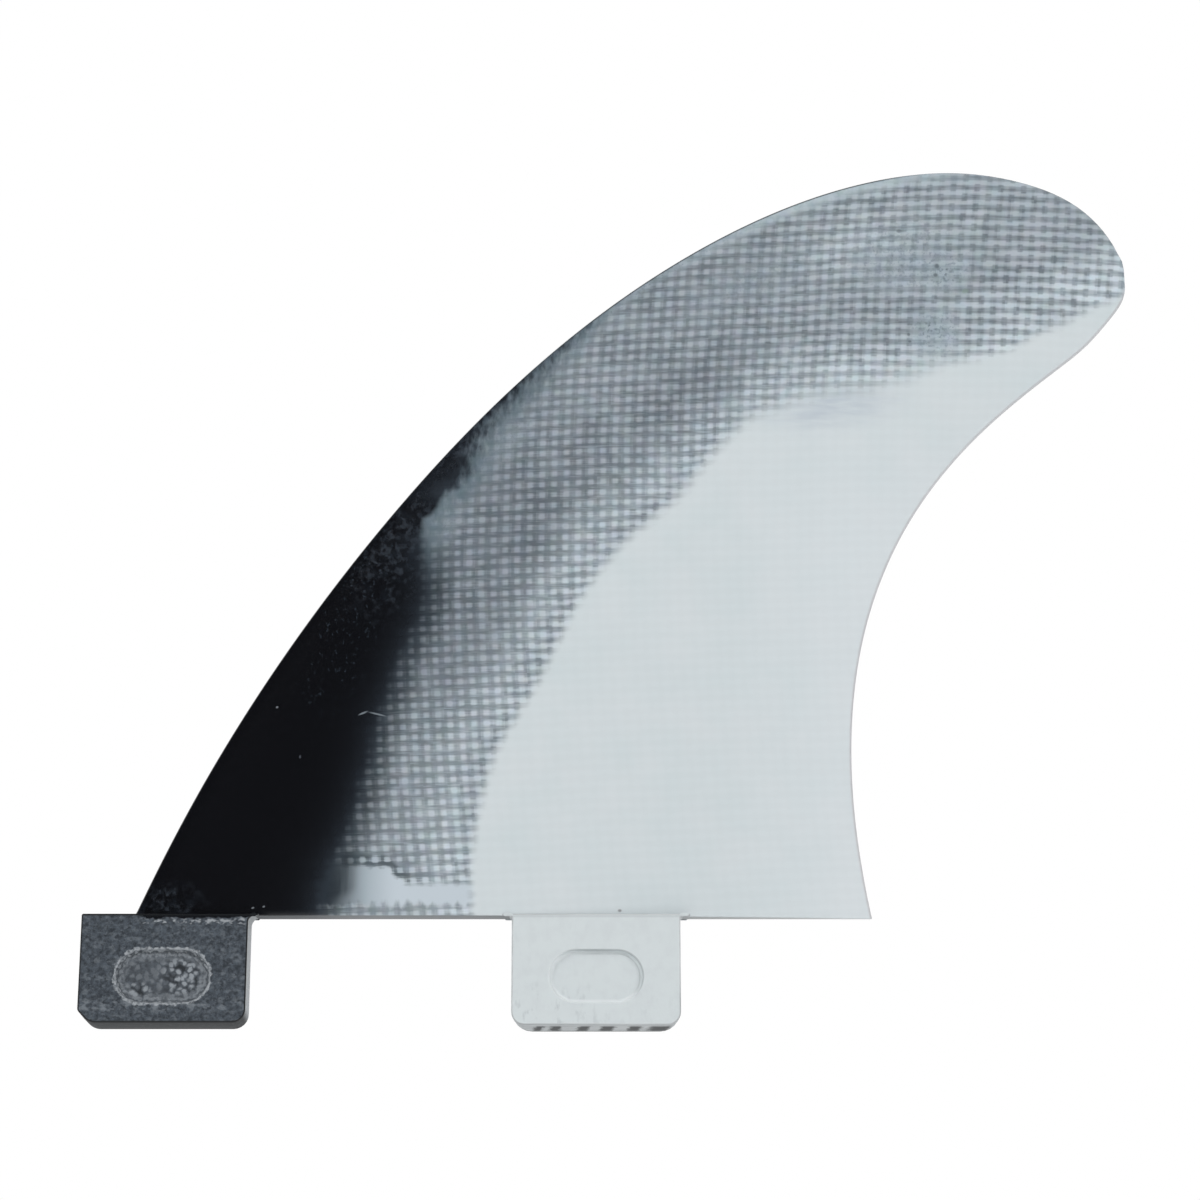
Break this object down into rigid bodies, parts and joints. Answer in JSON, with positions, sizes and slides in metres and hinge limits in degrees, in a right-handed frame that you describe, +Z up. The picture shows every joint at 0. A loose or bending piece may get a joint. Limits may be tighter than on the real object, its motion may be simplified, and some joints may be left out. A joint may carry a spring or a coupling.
{
  "type": "surfboard fin",
  "caption": "Swept laminate surfboard side fin with a flat inside face, a foiled outside face and canted plug-in tabs with oval screw pockets.",
  "frame": {"origin": "on the seat, the underside of the root, midway between the tabs and at mid thickness", "axes": "+X along the root toward the trailing edge, +Z up the depth of the blade away from the board, -Y out of the foiled outside face"},
  "size_m": [0.1739, 0.0085, 0.1467],
  "materials": {
    "laminate": "glossy glass-cloth laminate, the tabs sanded dull"
  },
  "bodies": {
    "root": {"fin": "laminate"}
  },
  "joints": []
}
